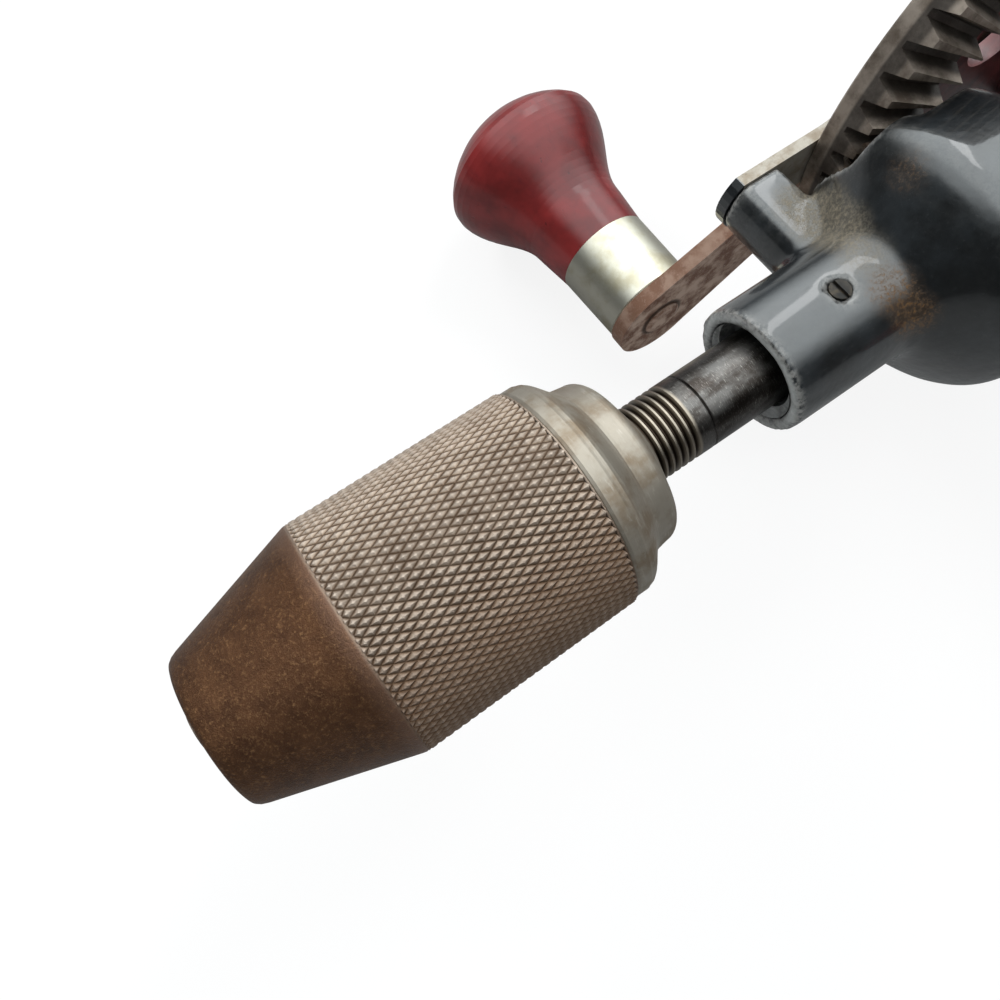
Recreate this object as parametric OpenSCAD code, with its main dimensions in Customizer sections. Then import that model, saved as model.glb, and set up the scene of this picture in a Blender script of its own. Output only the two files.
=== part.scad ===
// Breast drill with a hand crank, an open bevel gear and a three-jaw chuck.
// Millimetres. The origin is the centre of the chuck's mouth, on the spindle axis.
// +X points the way the drill bores, +Z is up and the crank is on the -Y side.

/* [Chuck] */
// Radius of the sleeve's nose at its front end
nose_r = 14.6; // [14.2:0.1:16]
// Length of the sleeve's plain cone
cone_len = 28.6; // [26:0.2:32]
// Radius of the sleeve at the front of the knurl
sleeve_r = 23.4; // [23.2:0.1:25]
// Length of the whole sleeve
sleeve_len = 73.6; // [72:0.2:80]
// Radius of the sleeve's bore round the chuck body
sleeve_bore_r = 21.02; // [20.9:0.02:21.2]
// Radius of the round grip between the jaws
grip_r = 3.2; // [3:0.1:3.6]
// Radius of one jaw
jaw_r = 4.6; // [4.4:0.1:4.7]
// Slope of the jaws to the spindle axis, in degrees
jaw_slope = 10; // [9:0.5:11]
// Length of one jaw
jaw_len = 38; // [34:1:40]

/* [Spindle] */
// Radius of the spindle's shank
spindle_r = 7.94; // [7.6:0.02:8.2]
// Pitch of the chuck thread
thread_pitch = 1.6; // [1.2:0.1:2]
// Radius of the rear journal
journal_r = 6; // [5:0.1:6.6]

/* [Gears] */
// Module of the bevel teeth at the large end
gear_m = 2; // [2:0.01:2.02]
// Teeth on the crank's gear wheel
wheel_teeth = 64; // [64:1:64]
// Teeth on the spindle's pinion
pinion_teeth = 24; // [24:1:24]
// Length of the teeth along the pitch cone
face_w = 13; // [11:0.5:14]
// Width of the rim outside the pitch circle of the wheel
rim_lip = 1; // [0.8:0.1:1.4]
// Distance of the rim's outer side from the spindle axis
wheel_back = 31.3; // [30.8:0.1:31.6]

/* [Crank] */
// Distance from the chuck's mouth to the crank axis
crank_u = 227; // [226:0.5:232]
// Length of the arm between the centres of shaft and pin
arm_len = 102.4; // [90:0.5:115]
// Angle of the arm below the drill's axis, at rest
arm_angle = 25.9; // [0:0.5:40]
// Thickness of the arm
arm_t = 4; // [3:0.1:5]
// Radius of the crank shaft
shaft_r = 7; // [6:0.1:7.4]
// Length of the knob's ferrule
ferrule_len = 19.8; // [16:0.2:24]
// Radius of the ferrule at the arm
ferrule_r = 12.2; // [11.5:0.1:13]
// Length of the wooden knob past its ferrule
knob_len = 49.5; // [45:0.5:55]
// Largest radius of the wooden knob
knob_r = 23.6; // [21:0.1:25]

/* [Frame] */
// Radius of the boss round the spindle
boss_r = 13.6; // [13.2:0.1:14.5]
// Distance of the boss's front face from the chuck's mouth
boss_u = 118.4; // [116:0.2:121]
// Radius of the pinion's casing
casing_r = 29; // [28.6:0.1:30]
// Distance of the casing's open side from the spindle axis
casing_side = 19; // [18.5:0.1:19.4]
// Thickness of the side plate
plate_t = 2.5; // [2:0.1:3]
// Radius of the shank behind the frame
shank_r = 8; // [7.5:0.1:8.5]
// Length of the shank that shows between frame and breast plate
shank_show = 84; // [60:1:120]

/* [Breast plate] */
// Width of the breast plate, across the drill
breast_w = 132; // [110:1:150]
// Height of the breast plate
breast_h = 74; // [64:1:84]
// Thickness of the breast plate
breast_t = 6; // [5:0.5:8]
// Radius to which the breast plate is curved
breast_curve = 190; // [160:5:260]

/* [Side handle] */
// Length of the wooden side handle
side_len = 96; // [80:1:110]
// Largest radius of the side handle
side_r = 16; // [14:0.5:18]

/* [Hidden] */
$fn = 64;
big = 400;
through = 60;

// Clearances: run_gap turns, slide_gap slides, seat_gap is a fixed seat, free_gap never touches
run_gap = 0.06;
slide_gap = 0.08;
seat_gap = 0.02;
free_gap = 0.3;

// Chuck stations along the spindle axis, counted rearwards from the mouth
mouth_r = 10.6;
sleeve_wall = 3.6;
sleeve_taper = 0.5;
body_front = 12;
lip_u = 2.5;
bore_slope = (sleeve_r - sleeve_wall - mouth_r) / (cone_len - lip_u);
ring_front = cone_len + 1.4;
ring_len = 12;
ring_back = ring_front + ring_len;
groove_r = sleeve_bore_r - 6.4;
jaw_front_r = 5.2;
jaw_out = 1;
jaw_travel_room = 19;
collar_u = sleeve_len + 0.2;
collar_r = sleeve_r - 1;
collar_back = collar_u + 17.2;
thread_front = collar_u - 11.3;
thread_end = 100.6;
thread_h = 0.8;
score_u = 104;

// Bevel gear geometry, with the cone apex where the two axes cross
wheel_pr = wheel_teeth * gear_m / 2;
pinion_pr = pinion_teeth * gear_m / 2;
wheel_r = wheel_pr + rim_lip;
wheel_cone = atan(wheel_pr / pinion_pr);
pinion_cone = 90 - wheel_cone;
cone_dist = sqrt(wheel_pr * wheel_pr + pinion_pr * pinion_pr);
addendum = gear_m;
dedendum = 1.25 * gear_m;
flank = 20;
gap_half = 0.825 * gear_m;
tooth_half = 0.6 * gear_m;
tooth_tip = 0.9 * gear_m;
wheel_hub_r = 14;
gear_pin_r = 2;
web_t = 4;
rim_w = 9;
inner_dist = cone_dist - face_w;
pinion_u = crank_u - wheel_pr;

// Frame stations
boss_len = 24;
casing_rise = 20;
casing_len = 29;
casing_front = boss_u + boss_len;
casing_full = casing_front + casing_rise;
casing_back = pinion_u + casing_len;
jaw_flat = 1.5;
bush_r = 10.6;
bush_depth = 0.5;
bush_len = 23.5;
// Oil pocket in the upper half of the bush's mouth, a bore off the spindle's centre
pocket_r = 9.4;
pocket_up = 3;
pocket_depth = 4;
pinion_hub = 3;
pinion_pin_r = 1.6;
pinion_back = pinion_u + face_w * cos(pinion_cone) + 1.5;
rear_wall = pinion_back + 1.9;
rear_bush_len = 12;
journal_len = 25;
journal_end = pinion_back + journal_len;
ball_r = 2.8;
thrust_gap = 0.1;
plug_u = journal_end + 2 * ball_r + 2 * thrust_gap;
plug_len = 6;
hub_r = 16;
hub_face = 14.4;
hub_far = 16;
spine_h = 13.4;
spine_r = 12.4;
spine_side = 10;
socket_u = crank_u + 36;
socket_len = 34;
socket_r = 14;
lug_u = 146.6;
lug_half = 6.4;
lug_round = 9;
lug_arc = 51;
lug_tall = 7;
lug_axis_z = -2;
plate_a = wheel_back + 0.6;
plate_eye_r = 17;
plate_screw_in = 11;
plate_screw_r = 2.5;
plate_head_r = 4.4;
plate_head_t = 1.5;
plate_head_seat = plate_t - plate_head_t - 0.05;
plate_lug_x = crank_u - lug_u;
// Where the plate starts to widen towards its eye, and where the eye takes over
plate_neck_x = 60;
plate_root_x = 6;
plate_root = plate_eye_r - 1.5;
screw_u = 136.7;
screw_r = 2.1;
casing_wall = 2.7;
// Angles of the seams where the turned surfaces close, kept apart from each other and from the cuts
casing_seam = 37;
chamber_seam = 53;
wheel_room = 1.1;
open_front = casing_front + 13.6;
wheel_floor = inner_dist * cos(wheel_cone) - addendum - wheel_room;

// Crank stations, counted outwards from the spindle axis along the crank axis
shaft_in = 12;
arm_a = plate_a + plate_t + 1.9;
arm_out = arm_a + arm_t;
pin_r = 4;
arm_half = 12.6;
arm_neck = 9.6;
pin_head_r = 5.3;
pin_head_h = 0.9;
ferrule_a = arm_out + 0.1;
knob_a = ferrule_a + ferrule_len;
knob_end = knob_a + knob_len;
recess_r = 7.5;
recess_d = 9;
pin_end = knob_end - recess_d + 1.6;

// Rear stations
shank_in = 26;
cross_pin_r = 2.5;
shank_front = socket_u + socket_len - shank_in;
breast_hub_len = 22;
breast_hub_u = socket_u + socket_len + shank_show;
breast_u = breast_hub_u + breast_hub_len;
breast_hub_r = 14;
shank_back = breast_hub_u + 18;

// Side handle stations, counted outwards from the spindle axis on the +Y side
side_boss_y = 30;
side_boss_r = 12;
stud_r = 5;
side_ferrule_len = 14;
side_gap = 0.1;
side_wood_y = side_boss_y + side_gap + side_ferrule_len;
stud_end = side_wood_y + 30;

// Turns local +Z to run rearwards along the spindle, with local X up
module on_spindle(u = 0) translate([-u, 0, 0]) rotate([0, -90, 0]) children();

// Turns local +Z to run outwards along the crank axis, with local X forwards
module on_crank(a = 0) translate([-crank_u, -a, 0]) rotate([90, 0, 0]) children();

// Turns local +Z to run outwards along the side handle
module on_side(y = 0) translate([-crank_u, y, 0]) rotate([-90, 0, 0]) children();

// The knob's axis, where the arm ends
module on_pin(a = 0) on_crank(a) rotate(-arm_angle) translate([arm_len, 0, 0]) children();

module tube(h, r_out, r_in) difference() {
    cylinder(h = h, r = r_out);
    translate([0, 0, -1]) cylinder(h = h + 2, r = r_in);
}

// Points of a circular arc, from angle a0 to a1
function arc(cx, cy, r, a0, a1, n = 8) =
    [for (i = [0:n]) let (a = a0 + (a1 - a0) * i / n) [cx + r * cos(a), cy + r * sin(a)]];

// A smooth curve through two ends with given heights, as points for a turned profile
function ease(z0, r0, z1, r1, n = 10) =
    [for (i = [0:n]) let (s = i / n) [r0 + (r1 - r0) * (3 - 2 * s) * s * s, z0 + (z1 - z0) * s]];

// Chuck

module chuck_sleeve() color("#5d5148") on_spindle() rotate_extrude($fn = 96) polygon(concat(
    [[mouth_r, 0.6], [mouth_r + 0.6, 0], [nose_r - 0.8, 0]],
    arc(nose_r - 0.8, 0.8, 0.8, -80, 0, 4),
    [[sleeve_r, cone_len], [sleeve_r - sleeve_taper, sleeve_len - 0.5],
     [sleeve_r - sleeve_taper - 0.5, sleeve_len], [sleeve_bore_r, sleeve_len],
     [sleeve_bore_r, ring_front], [sleeve_r - sleeve_wall, cone_len], [mouth_r, lip_u]]));

// Radius of the body's front cone, inside the sleeve's own
function body_cone_r(u) = mouth_r + (u - lip_u) * bore_slope - free_gap;

function jaw_axis_r(u) = jaw_front_r + u * tan(jaw_slope);
function jaw_edge_r(u) = jaw_axis_r(u) + jaw_r / cos(jaw_slope);

module chuck_ring() color("#77706a") on_spindle() rotate_extrude($fn = 96) polygon([
    [jaw_edge_r(ring_front) + free_gap, ring_front + slide_gap],
    [sleeve_bore_r - seat_gap, ring_front + slide_gap],
    [sleeve_bore_r - seat_gap, ring_back - slide_gap],
    [jaw_edge_r(ring_back) + free_gap, ring_back - slide_gap]]);

module jaw_bore(k) rotate(k * 120) translate([jaw_front_r, 0, 0]) rotate([0, jaw_slope, 0])
    translate([0, 0, -big / 8])
        cylinder(h = big / 8 + jaw_len + jaw_travel_room, r = jaw_r + slide_gap);

module chuck_body() color("#8d8981") on_spindle() difference() {
    rotate_extrude($fn = 96) polygon(concat(
        [[spindle_r + run_gap, collar_back], [spindle_r + run_gap, thread_front],
         [grip_r * 2, thread_front], [grip_r * 2, body_front],
         [body_cone_r(body_front), body_front],
         [body_cone_r(cone_len), cone_len],
         [groove_r, ring_front], [groove_r, ring_back],
         [sleeve_bore_r - run_gap, ring_back],
         [sleeve_bore_r - run_gap, sleeve_len], [sleeve_bore_r - run_gap, collar_u],
         [collar_r - 0.3, collar_u], [collar_r, collar_u + 0.6],
         [collar_r, collar_u + 2.9]],
        ease(collar_u + 3.4, collar_r - 0.2, collar_u + 9, collar_r - 4.7, 8),
        arc(collar_r - 7.9, collar_u + 11.4, 2.8, 0, 55, 5),
        [[spindle_r + 1.4, collar_back - 0.6]]));
    for (k = [0:2]) jaw_bore(k);
}

// One jaw: a sloping rod, ground to a round grip and to flats beside its neighbours
module jaw(k) color("#6f6a63") on_spindle() rotate(k * 120) difference() {
    translate([jaw_front_r, 0, 0]) rotate([0, jaw_slope, 0])
        translate([0, 0, -jaw_out - 1.5]) cylinder(h = jaw_len + jaw_out + 1.5, r = jaw_r);
    translate([-big / 2, -big / 2, -jaw_out - big / 4]) cube([big, big, big / 4]);
    translate([0, 0, -big / 4]) cylinder(h = big / 2, r = grip_r);
    for (s = [-1, 1]) rotate(60 * s) translate([-big / 4, s > 0 ? -jaw_flat : jaw_flat - big / 2,
        -big / 4]) cube([big / 2, big / 2, big / 2]);
}

// Spindle

function thread_points(u0, u1, r, h, p) = [for (u = [u0 : p : u1 - p])
    each [[r, u + 0.12 * p], [r - h, u + 0.45 * p], [r - h, u + 0.55 * p], [r, u + 0.88 * p]]];

module spindle() color("#6b6259") on_spindle() difference() {
    rotate_extrude() polygon(concat(
    [[0, thread_front + 0.5], [spindle_r - 1, thread_front + 0.5]],
    thread_points(thread_front + 1, thread_end, spindle_r, thread_h, thread_pitch),
    [[spindle_r, thread_end], [spindle_r, score_u - 0.3], [spindle_r - 0.3, score_u],
     [spindle_r, score_u + 0.3], [spindle_r, pinion_back], [journal_r, pinion_back],
     [journal_r, journal_end], [0, journal_end]]));
    pinion_pin_hole();
}

module pinion_pin_hole() translate([0, 0, pinion_u + face_w / 2]) rotate([90, 0, 0])
    cylinder(h = big / 4, r = pinion_pin_r + seat_gap, center = true);

// A pinion tooth, straight along the pitch cone, with its root sunk in the cone
module pinion_tooth() translate([pinion_pr, 0, 0]) rotate([0, -pinion_cone, 0])
    linear_extrude(face_w) polygon([
        [-dedendum - 1, -tooth_half - (dedendum + 1) * tan(flank)],
        [tooth_tip, -tooth_half + tooth_tip * tan(flank)],
        [tooth_tip, tooth_half - tooth_tip * tan(flank)],
        [-dedendum - 1, tooth_half + (dedendum + 1) * tan(flank)]]);

module pinion() color("#5f574e") on_spindle(pinion_u) difference() {
    union() {
        rotate_extrude() polygon([
            [0, -pinion_hub], [pinion_pr - dedendum * 1.6, -pinion_hub],
            [pinion_pr - dedendum, -dedendum * 0.3],
            [pinion_pr - dedendum * cos(pinion_cone), -dedendum * sin(pinion_cone)],
            [pinion_pr - dedendum * cos(pinion_cone) - face_w * sin(pinion_cone),
             face_w * cos(pinion_cone) - dedendum * sin(pinion_cone)],
            [pinion_pr * 0.6, pinion_back - pinion_u], [0, pinion_back - pinion_u]]);
        for (k = [0 : pinion_teeth - 1]) rotate(-90 + k * 360 / pinion_teeth) pinion_tooth();
    }
    translate([0, 0, -big / 4]) cylinder(h = big / 2, r = spindle_r + seat_gap);
    translate([0, 0, -pinion_u]) pinion_pin_hole();
}

module pinion_pin() color("#8a857c") on_spindle(pinion_u + face_w / 2) rotate([90, 0, 0])
    cylinder(h = 30, r = pinion_pin_r, center = true);

module pinion_washer() color("#9a7b45") on_spindle(pinion_u - pinion_hub - 1.6)
    tube(1.5, 14, spindle_r + run_gap);

module thrust_ball() color("#9d9d9b") on_spindle(journal_end + thrust_gap + ball_r) sphere(r = ball_r);

module thrust_plug() color("#77716a") on_spindle(plug_u)
    cylinder(h = plug_len, r = journal_r);

module front_bush() color("#a17e43") on_spindle(boss_u + bush_depth) difference() {
    tube(bush_len, bush_r - seat_gap, spindle_r + run_gap);
    translate([pocket_up, 0, -1]) cylinder(h = pocket_depth + 1, r = pocket_r);
}

module rear_bush() color("#a17e43") on_spindle(rear_wall)
    tube(rear_bush_len, journal_r + 2.4, journal_r + run_gap);

// Frame

// Outline of the casing, turned about the spindle axis
function casing_points() = concat(
    ease(casing_front, boss_r - 3, casing_full, casing_r, 8),
    ease(pinion_back + 1, casing_r, casing_back, spine_h + 0.8, 6));

// Space outside the casing's open side, with a step for the inner ends of the wheel's teeth
module open_side() translate([0, 0, -big / 2]) linear_extrude(big) polygon([
    [-open_front, -casing_side], [-open_front, -big / 2],
    [-casing_back - 8, -big / 2], [-casing_back - 8, -wheel_floor],
    [wheel_r - 5 - crank_u, -wheel_floor], [wheel_r - 5 - crank_u, -casing_side]]);

module lug() translate([-lug_u, 0, lug_axis_z]) rotate([90, 0, 0]) linear_extrude(plate_a)
    polygon(concat(arc(lug_half - lug_round, 0, lug_round, -lug_arc, lug_arc, 10),
        [[1 - lug_half, lug_tall], [-lug_half, lug_tall - 1]],
        [[-lug_half, 1 - lug_tall], [1 - lug_half, -lug_tall]]));

module frame() color("#3c4247") difference() {
    union() {
        on_spindle(boss_u) cylinder(h = casing_full - boss_u, r = boss_r);
        on_spindle() rotate(casing_seam) rotate_extrude($fn = 96)
            polygon(concat([[0, casing_front]], casing_points(), [[0, casing_back]]));
        on_spindle(casing_back - 4) cylinder(h = plug_u + plug_len + 6 - casing_back, r = spine_r);
        translate([-socket_u - 4, -spine_side, -spine_h])
            cube([socket_u + 4 - casing_back, spine_side + spine_h, 2 * spine_h]);
        on_crank(-hub_far) cylinder(h = hub_face + hub_far, r = hub_r);
        on_side(0) cylinder(h = side_boss_y, r = side_boss_r);
        on_spindle(socket_u) cylinder(h = socket_len, r = socket_r);
        lug();
    }
    open_side();
    // Pinion chamber
    on_spindle() rotate(chamber_seam) rotate_extrude($fn = 96) polygon(concat(
        [[0, pinion_u - pinion_hub - 1.8]], [[14.6, pinion_u - pinion_hub - 1.8]],
        [[casing_r - casing_wall, pinion_u - pinion_hub - 0.4]],
        [[casing_r - casing_wall, pinion_u + 5.5]],
        [[casing_r - casing_wall - 3.8, rear_wall], [0, rear_wall]]));
    // Spindle bearings, thrust plug and mouth recess
    on_spindle(boss_u - 1) cylinder(h = bush_depth + 1 + bush_len, r = bush_r);
    on_spindle(boss_u) cylinder(h = casing_full - boss_u, r = spindle_r + free_gap);
    on_spindle(rear_wall - 1) cylinder(h = 1 + rear_bush_len,
        r = journal_r + 2.4 + seat_gap);
    on_spindle(rear_wall) cylinder(h = plug_u + plug_len + 0.2 - rear_wall, r = journal_r + run_gap);
    // Crank shaft bush
    on_crank(-shaft_in - 1.2) cylinder(h = hub_face + shaft_in + 5, r = shaft_r + 2 + seat_gap);
    // Shank socket and its pin
    on_spindle(shank_front - 1) cylinder(h = shank_in + 10, r = shank_r + seat_gap);
    translate([-socket_u - socket_len / 2, 0, 0]) cylinder(h = through, r = cross_pin_r + seat_gap, center = true);
    // Side handle stud
    on_side(hub_far + 1) cylinder(h = side_boss_y, r = stud_r + seat_gap);
    // Slotted screw over the front bush
    translate([-screw_u, 0, bush_r - 1]) cylinder(h = 10, r = screw_r + seat_gap);
    // Screw in the end of the lug
    translate([-lug_u, -plate_a - 1, lug_axis_z]) rotate([-90, 0, 0])
        cylinder(h = plate_screw_in + 2, r = plate_screw_r + seat_gap);
}

// Slotted grub screw that holds the front bush
module bush_screw() color("#4a4a48") translate([-screw_u, 0, bush_r + seat_gap]) difference() {
    cylinder(h = boss_r - bush_r - 0.5, r = screw_r);
    translate([-0.4, -4, boss_r - bush_r - 1.3]) cube([0.8, 8, 2]);
}

// Gear wheel

// Cutter for one tooth gap, straight along the pitch cone
module wheel_gap() translate([wheel_pr, 0, pinion_pr]) rotate([0, 180 + wheel_cone, 0])
    translate([0, 0, -4]) linear_extrude(face_w + 8) polygon([
        [dedendum, -gap_half + dedendum * tan(flank)],
        [-addendum - 1.5, -gap_half - (addendum + 1.5) * tan(flank)],
        [-addendum - 1.5, gap_half + (addendum + 1.5) * tan(flank)],
        [dedendum, gap_half - dedendum * tan(flank)]]);

module gear_wheel() color("#6a3a36") on_crank() difference() {
    rotate_extrude($fn = 128) polygon([
        [shaft_r + seat_gap, hub_face + 0.3], [wheel_hub_r, hub_face + 0.3],
        [wheel_hub_r, wheel_back - 3 - web_t],
        [inner_dist * sin(wheel_cone) - 3, wheel_back - 3 - web_t],
        [inner_dist * sin(wheel_cone) - 1, inner_dist * cos(wheel_cone) + dedendum],
        [inner_dist * sin(wheel_cone) + addendum * cos(wheel_cone),
         inner_dist * cos(wheel_cone) - addendum * sin(wheel_cone)],
        [wheel_r, wheel_r / tan(wheel_cone) - addendum / sin(wheel_cone)],
        [wheel_r, wheel_back - 0.5], [wheel_r - 0.5, wheel_back],
        [wheel_r - rim_w, wheel_back], [wheel_r - rim_w - 2, wheel_back - 3],
        [wheel_hub_r + 2, wheel_back - 3], [wheel_hub_r, wheel_back],
        [shaft_r + seat_gap, wheel_back]]);
    for (k = [0 : wheel_teeth - 1]) rotate(k * 360 / wheel_teeth) wheel_gap();
    for (k = [0:4]) rotate(36 + k * 72) translate([33, 0, wheel_back - 12]) cylinder(h = 14, r = 9);
    translate([0, 0, hub_face + 5]) rotate([0, 90, 0])
        cylinder(h = through, r = gear_pin_r + seat_gap, center = true);
}

module gear_pin() color("#8a857c") on_crank(hub_face + 5) rotate([0, 90, 0])
    cylinder(h = 2 * wheel_hub_r - 1, r = gear_pin_r, center = true);

module crank_shaft() color("#7d7870") difference() {
    union() {
        on_crank(-shaft_in) cylinder(h = arm_out + shaft_in + 1, r = shaft_r);
        on_crank(arm_out) cylinder(h = 10, r = 5);
    }
    on_crank(hub_face + 5) rotate([0, 90, 0]) cylinder(h = through, r = gear_pin_r + seat_gap, center = true);
}

module hub_bush() color("#a17e43") on_crank(-shaft_in) tube(shaft_in + hub_face, shaft_r + 2, shaft_r + run_gap);

// Side plate

module side_plate() color("#8f8c86") on_crank(plate_a) difference() {
    linear_extrude(plate_t) union() {
        polygon(concat(
            arc(plate_lug_x + lug_half - lug_round, lug_axis_z, lug_round, -lug_arc, lug_arc, 10),
            [[plate_neck_x, lug_axis_z + lug_tall], [plate_root_x, plate_root]],
            [[plate_root_x, -plate_root], [plate_neck_x, lug_axis_z - lug_tall]]));
        circle(r = plate_eye_r);
    }
    translate([0, 0, -1]) cylinder(h = 10, r = shaft_r + 2 + seat_gap);
    translate([plate_lug_x, lug_axis_z, -1]) cylinder(h = 10, r = plate_screw_r + 0.15);
    translate([plate_lug_x, lug_axis_z, plate_head_seat]) cylinder(h = 10, r = plate_head_r + 0.15);
}

// Its head is sunk in the plate
module plate_screw() color("#6f6b64") translate([-lug_u, 0, lug_axis_z]) rotate([90, 0, 0])
    translate([0, 0, plate_a - plate_screw_in]) difference() {
        union() {
            cylinder(h = plate_screw_in + plate_head_seat + plate_head_t / 2, r = plate_screw_r);
            translate([0, 0, plate_screw_in + plate_head_seat]) cylinder(h = plate_head_t, r = plate_head_r);
        }
        translate([-6, -0.5, plate_screw_in + plate_head_seat + plate_head_t / 2]) cube([12, 1, 2]);
    }

module plate_bush() color("#a17e43") on_crank(plate_a) 
    tube(plate_t + 1.7, shaft_r + 2, shaft_r + run_gap);

// Crank

module crank_arm() color("#6d5d52") on_crank(arm_a) rotate(-arm_angle) difference() {
    linear_extrude(arm_t) union() {
        translate([arm_len, 0]) circle(r = arm_half);
        circle(r = arm_half + 0.6);
        polygon([[0, -arm_neck], [arm_len - 38, -arm_neck], [arm_len, -arm_half],
            [arm_len, arm_half], [arm_len - 38, arm_neck], [0, arm_neck]]);
    }
    translate([0, 0, -1]) cylinder(h = arm_t + 2, r = shaft_r + seat_gap);
    translate([arm_len, 0, -1]) cylinder(h = arm_t + 2, r = pin_r + seat_gap);
}

module crank_washer() color("#7d7870") on_crank(arm_out + 1.05) tube(1.6, 10, 5 + seat_gap);

module crank_nut() color("#6f6b64") on_crank(arm_out + 2.7) difference() {
    cylinder(h = 6, r = 9, $fn = 6);
    translate([0, 0, -1]) cylinder(h = 8, r = 5 + seat_gap);
}

// Pin that the knob turns on, riveted over on the near face of the arm
module crank_pin() color("#65564b") on_pin() rotate_extrude() polygon([
    [0, arm_a - pin_head_h - seat_gap], [pin_head_r - 1.4, arm_a - pin_head_h - seat_gap],
    [pin_head_r - 0.2, arm_a - 0.4], [pin_head_r, arm_a - seat_gap], [pin_r, arm_a - seat_gap],
    [pin_r, pin_end], [0, pin_end]]);

module pin_washer() color("#8a857c") on_pin(knob_end - recess_d + 0.05)
    tube(1.2, 7, pin_r + seat_gap);

module crank_ferrule() color("#bdb8a6") on_pin() rotate_extrude() polygon([
    [pin_r + slide_gap, ferrule_a], [ferrule_r - 0.3, ferrule_a], [ferrule_r, ferrule_a + 0.5],
    [ferrule_r + 0.3, knob_a], [ferrule_r - 0.8, knob_a], [ferrule_r - 1.1, ferrule_a + 1],
    [pin_r + slide_gap, ferrule_a + 1]]);

// Eases from 0 to 1
function smooth(x) = let (c = min(1, max(0, x))) (3 - 2 * c) * c * c;

// Outline of the turned knob: a slim neck that flares to a wide, domed end
function knob_curve(s) = s < 0.72
    ? ferrule_r + 0.3 + 1.2 * min(1, s / 0.22) + (knob_r - ferrule_r - 1.5) * smooth((s - 0.22) / 0.5)
    : knob_r * sqrt(max(0, 1 - pow((s - 0.72) / 0.28, 1.3)));

module crank_knob() color("#6e1f24") on_pin() difference() {
    rotate_extrude($fn = 96) polygon(concat(
        [[0, ferrule_a + 1.1], [ferrule_r - 1.3, ferrule_a + 1.1],
         [ferrule_r - 1, knob_a + 0.05]],
        [for (i = [0:26]) [knob_curve(i / 26), knob_a + 0.05 + (knob_len - 0.05) * i / 26]],
        [[0, knob_end]]));
    translate([0, 0, ferrule_a]) cylinder(h = big / 2, r = pin_r + slide_gap);
    translate([0, 0, knob_end - recess_d]) cylinder(h = recess_d + 1, r = recess_r);
}

// Rear

module shank() color("#7d7870") difference() {
    on_spindle(shank_front) cylinder(h = shank_back - shank_front, r = shank_r);
    translate([-socket_u - socket_len / 2, 0, 0]) cylinder(h = through, r = cross_pin_r + seat_gap, center = true);
}

module shank_pin() color("#8a857c") translate([-socket_u - socket_len / 2, 0, 0])
    cylinder(h = 2 * socket_r + 1, r = cross_pin_r, center = true);

// A dished oval plate, cut from a cylinder wall that curves round the chest
module breast_plate() color("#3c4247") difference() {
    union() {
        intersection() {
            translate([-breast_u - breast_curve, 0, -breast_h])
                tube(2 * breast_h, breast_curve, breast_curve - breast_t);
            on_spindle(breast_u - 4) linear_extrude(breast_h) scale([breast_h / breast_w, 1])
                circle(r = breast_w / 2, $fn = 96);
        }
        on_spindle(breast_hub_u) cylinder(h = breast_hub_len + 2, r = breast_hub_r);
    }
    on_spindle(breast_hub_u - 1) cylinder(h = shank_back - breast_hub_u + 1.1, r = shank_r + seat_gap);
    translate([-breast_hub_u - 9, 0, 0]) cylinder(h = 30, r = 2.5 + seat_gap);
}

module breast_screw() color("#6f6b64") translate([-breast_hub_u - 9, 0, shank_r + 0.05]) difference() {
    union() {
        cylinder(h = breast_hub_r - shank_r + 1, r = 2.5);
        translate([0, 0, breast_hub_r - shank_r + 0.2]) cylinder(h = 3, r = 4.5);
    }
    translate([-6, -0.5, breast_hub_r - shank_r + 2]) cube([12, 1, 2]);
}

// Side handle

module side_stud() color("#7d7870") on_side(hub_far + 1.1)
    cylinder(h = stud_end - hub_far - 1.1, r = stud_r);

module side_ferrule() color("#bdb8a6") on_side() rotate_extrude() polygon([
    [stud_r + seat_gap, side_boss_y + side_gap], [side_boss_r - 0.6, side_boss_y + side_gap],
    [side_boss_r, side_boss_y + side_gap + 0.6], [side_boss_r, side_wood_y],
    [side_boss_r - 1, side_wood_y], [side_boss_r - 1, side_boss_y + side_gap + 1.2],
    [stud_r + seat_gap, side_boss_y + side_gap + 1.2]]);

function side_curve(s) = side_boss_r - 0.6 + (side_r - side_boss_r + 0.6) * sin(180 * min(s, 0.62) / 1.24);

module side_handle() color("#6e1f24") on_side() difference() {
    rotate_extrude($fn = 96) polygon(concat(
        [[0, side_boss_y + side_gap + 1.3], [side_boss_r - 1.1, side_boss_y + side_gap + 1.3],
         [side_boss_r - 1.1, side_wood_y + 0.05]],
        [for (i = [0:14]) [side_curve(i / 16), side_wood_y + 0.05 + side_len * i / 16]],
        [for (i = [0:8]) let (a = i * 11.25) [side_r * cos(a) * 0.995,
            side_wood_y + side_len * (0.89 + 0.11 * sin(a))]]));
    translate([0, 0, side_boss_y]) cylinder(h = stud_end + 0.2 - side_boss_y, r = stud_r + seat_gap);
}

chuck_sleeve();
chuck_ring();
chuck_body();
jaw(0);  // jaw_1
jaw(1);  // jaw_2
jaw(2);  // jaw_3
spindle();
pinion();
pinion_pin();
pinion_washer();
thrust_ball();
thrust_plug();
front_bush();
rear_bush();
frame();
bush_screw();
gear_wheel();
gear_pin();
crank_shaft();
hub_bush();
side_plate();
plate_screw();
plate_bush();
crank_arm();
crank_washer();
crank_nut();
crank_pin();
pin_washer();
crank_ferrule();
crank_knob();
shank();
shank_pin();
breast_plate();
breast_screw();
side_stud();
side_ferrule();
side_handle();
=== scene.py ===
import math
import bpy
import numpy as np
from mathutils import Matrix, Vector


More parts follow.
